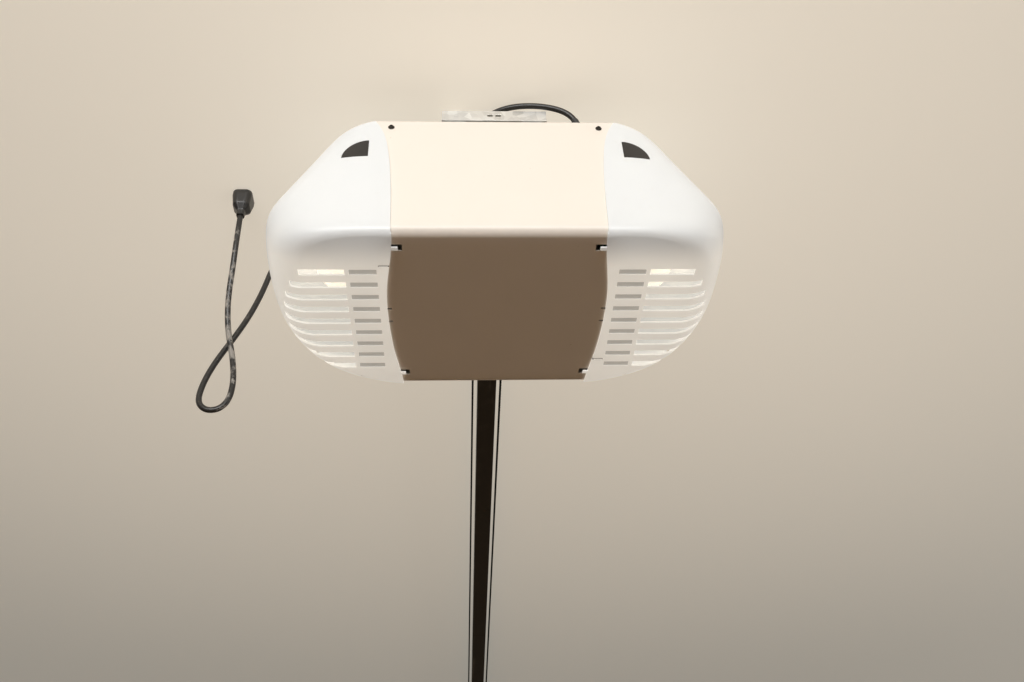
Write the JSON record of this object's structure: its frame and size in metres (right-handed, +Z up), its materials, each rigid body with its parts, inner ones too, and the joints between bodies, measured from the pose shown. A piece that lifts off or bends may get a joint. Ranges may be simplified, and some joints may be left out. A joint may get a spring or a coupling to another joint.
{
  "type": "garage door opener",
  "caption": "Ceiling-hung belt-drive garage door opener: steel housing with hinged light lenses, rail, trolley, header bracket and power lead.",
  "frame": {"origin": "on the ceiling, at the centre of the four hanger screws", "axes": "+Z up, +Y along the rail towards the door, +X to the right when facing the door"},
  "size_m": [0.6686, 3.1528, 0.5195],
  "materials": {
    "cover_steel": "cream powder coat",
    "chassis_steel": "plated sheet steel",
    "zinc": "zinc plated",
    "black_steel": "satin black paint",
    "lens_plastic": "milky translucent",
    "white_plastic": "moulded",
    "black_plastic": "moulded",
    "dark_latch": "smoke grey",
    "bulb_glass": "frosted",
    "brass": "plain",
    "belt_rubber": "matt",
    "lead_rubber": "matt",
    "gear_nylon": "natural nylon",
    "shaft_steel": "turned",
    "stator_iron": "laminated",
    "copper": "enamelled copper wire",
    "board": "solder mask",
    "capacitor_can": "plain",
    "learn_purple": "moulded"
  },
  "bodies": {
    "housing": {"chassis": "chassis_steel", "cover": "cover_steel", "cover_screws": "zinc", "side_panels": "chassis_steel", "lamp_sockets": "black_plastic", "lamp_caps": "brass", "bulbs": "bulb_glass", "rear_hanger_angle": "zinc", "front_hanger_angle": "zinc", "hanger_spacers": "zinc", "hanger_fasteners": "zinc", "rail_sections": "black_steel", "rail_sleeves": "zinc", "rail_bracket": "zinc", "rail_bracket_bolts": "zinc", "belt": "belt_rubber", "shaft_bearings": "brass", "gear_bracket": "zinc", "worm_bushings": "brass", "sprocket_cover": "black_plastic", "motor_stator": "stator_iron", "motor_windings": "copper", "motor_end_bells": "zinc", "motor_mount": "zinc", "transformer": "stator_iron", "capacitor": "capacitor_can", "capacitor_clamp": "zinc", "logic_board": "board", "control_plate": "white_plastic", "terminal_block": "white_plastic", "antenna_wire": "black_plastic", "power_lead": "lead_rubber", "lead_gland": "black_plastic", "plug": "lead_rubber", "plug_pins": "brass", "idler_bracket": "zinc", "idler_pin": "shaft_steel", "header_bracket": "zinc", "header_pin": "zinc"},
    "motor_rotor": {"motor_rotor": "shaft_steel"},
    "drive": {"drive_shaft": "shaft_steel", "drive_gear": "gear_nylon", "sprocket": "black_plastic"},
    "idler": {"idler_pulley": "black_plastic"},
    "trolley": {"trolley": "black_plastic", "trolley_pins": "zinc"},
    "release_lever": {"release_lever": "white_plastic"},
    "door_arm": {"straight_arm": "zinc", "bent_arm": "zinc", "arm_fasteners": "zinc"},
    "right_lens": {"right_lens": "lens_plastic"},
    "left_lens": {"left_lens": "lens_plastic"},
    "right_rear_latch": {"right_rear_latch": "dark_latch"},
    "right_door_latch": {"right_door_latch": "dark_latch"},
    "left_rear_latch": {"left_rear_latch": "dark_latch"},
    "left_door_latch": {"left_door_latch": "dark_latch"},
    "learn_button": {"learn_button": "learn_purple"},
    "up_force_dial": {"up_force_dial": "black_plastic"},
    "down_force_dial": {"down_force_dial": "black_plastic"}
  },
  "joints": [
    {"name": "motor_spin", "type": "hinge", "parent": "housing", "child": "motor_rotor", "pos_m": [-0.03, 0.008, -0.118], "axis": [0, 1, 0], "range_deg": [0, 157200]},
    {"name": "drive_spin", "type": "hinge", "parent": "housing", "child": "drive", "pos_m": [0, 0.008, -0.118], "axis": [0, 0, 1], "range_deg": [0, 5240.5]},
    {"name": "idler_spin", "type": "hinge", "parent": "housing", "child": "idler", "pos_m": [0, 2.877, -0.03913], "axis": [0, 0, 1], "range_deg": [0, 5240.5]},
    {"name": "trolley_slide", "type": "slide", "parent": "housing", "child": "trolley", "axis": [0, -1, 0], "range_m": [0, 2.0962]},
    {"name": "release_lever_pull", "type": "hinge", "parent": "trolley", "child": "release_lever", "pos_m": [0, 2.651, -0.074], "axis": [-1, 0, 0], "range_deg": [0, 40], "stiffness_Nm_per_rad": 0.05},
    {"name": "door_arm_swing", "type": "hinge", "parent": "trolley", "child": "door_arm", "pos_m": [0, 2.711, -0.074], "axis": [1, 0, 0], "range_deg": [-20, 40]},
    {"name": "right_lens_hinge", "type": "hinge", "parent": "housing", "child": "right_lens", "pos_m": [0.119, 0, -0.2615], "axis": [0, 1, 0], "range_deg": [0, 75]},
    {"name": "left_lens_hinge", "type": "hinge", "parent": "housing", "child": "left_lens", "pos_m": [-0.119, 0, -0.2615], "axis": [0, -1, 0], "range_deg": [0, 75]},
    {"name": "right_rear_latch_push", "type": "slide", "parent": "right_lens", "child": "right_rear_latch", "axis": [0, 1, 0], "range_m": [0, 0.004], "stiffness_N_per_m": 600},
    {"name": "right_door_latch_push", "type": "slide", "parent": "right_lens", "child": "right_door_latch", "axis": [0, -1, 0], "range_m": [0, 0.004], "stiffness_N_per_m": 600},
    {"name": "left_rear_latch_push", "type": "slide", "parent": "left_lens", "child": "left_rear_latch", "axis": [0, 1, 0], "range_m": [0, 0.004], "stiffness_N_per_m": 600},
    {"name": "left_door_latch_push", "type": "slide", "parent": "left_lens", "child": "left_door_latch", "axis": [0, -1, 0], "range_m": [0, 0.004], "stiffness_N_per_m": 600},
    {"name": "learn_button_push", "type": "slide", "parent": "housing", "child": "learn_button", "axis": [-1, 0, 0], "range_m": [0, 0.001], "stiffness_N_per_m": 300},
    {"name": "up_force_turn", "type": "hinge", "parent": "housing", "child": "up_force_dial", "pos_m": [0.1472, -0.092, -0.168], "axis": [1, 0, 0], "range_deg": [0, 270]},
    {"name": "down_force_turn", "type": "hinge", "parent": "housing", "child": "down_force_dial", "pos_m": [0.1472, -0.072, -0.168], "axis": [1, 0, 0], "range_deg": [0, 270]}
  ],
  "couplings": [
    {"joint": "drive_spin", "follows": "motor_spin", "ratio": 0.033333},
    {"joint": "idler_spin", "follows": "motor_spin", "ratio": 0.033333},
    {"joint": "trolley_slide", "follows": "motor_spin", "m_per_rad": 0.00076394}
  ]
}
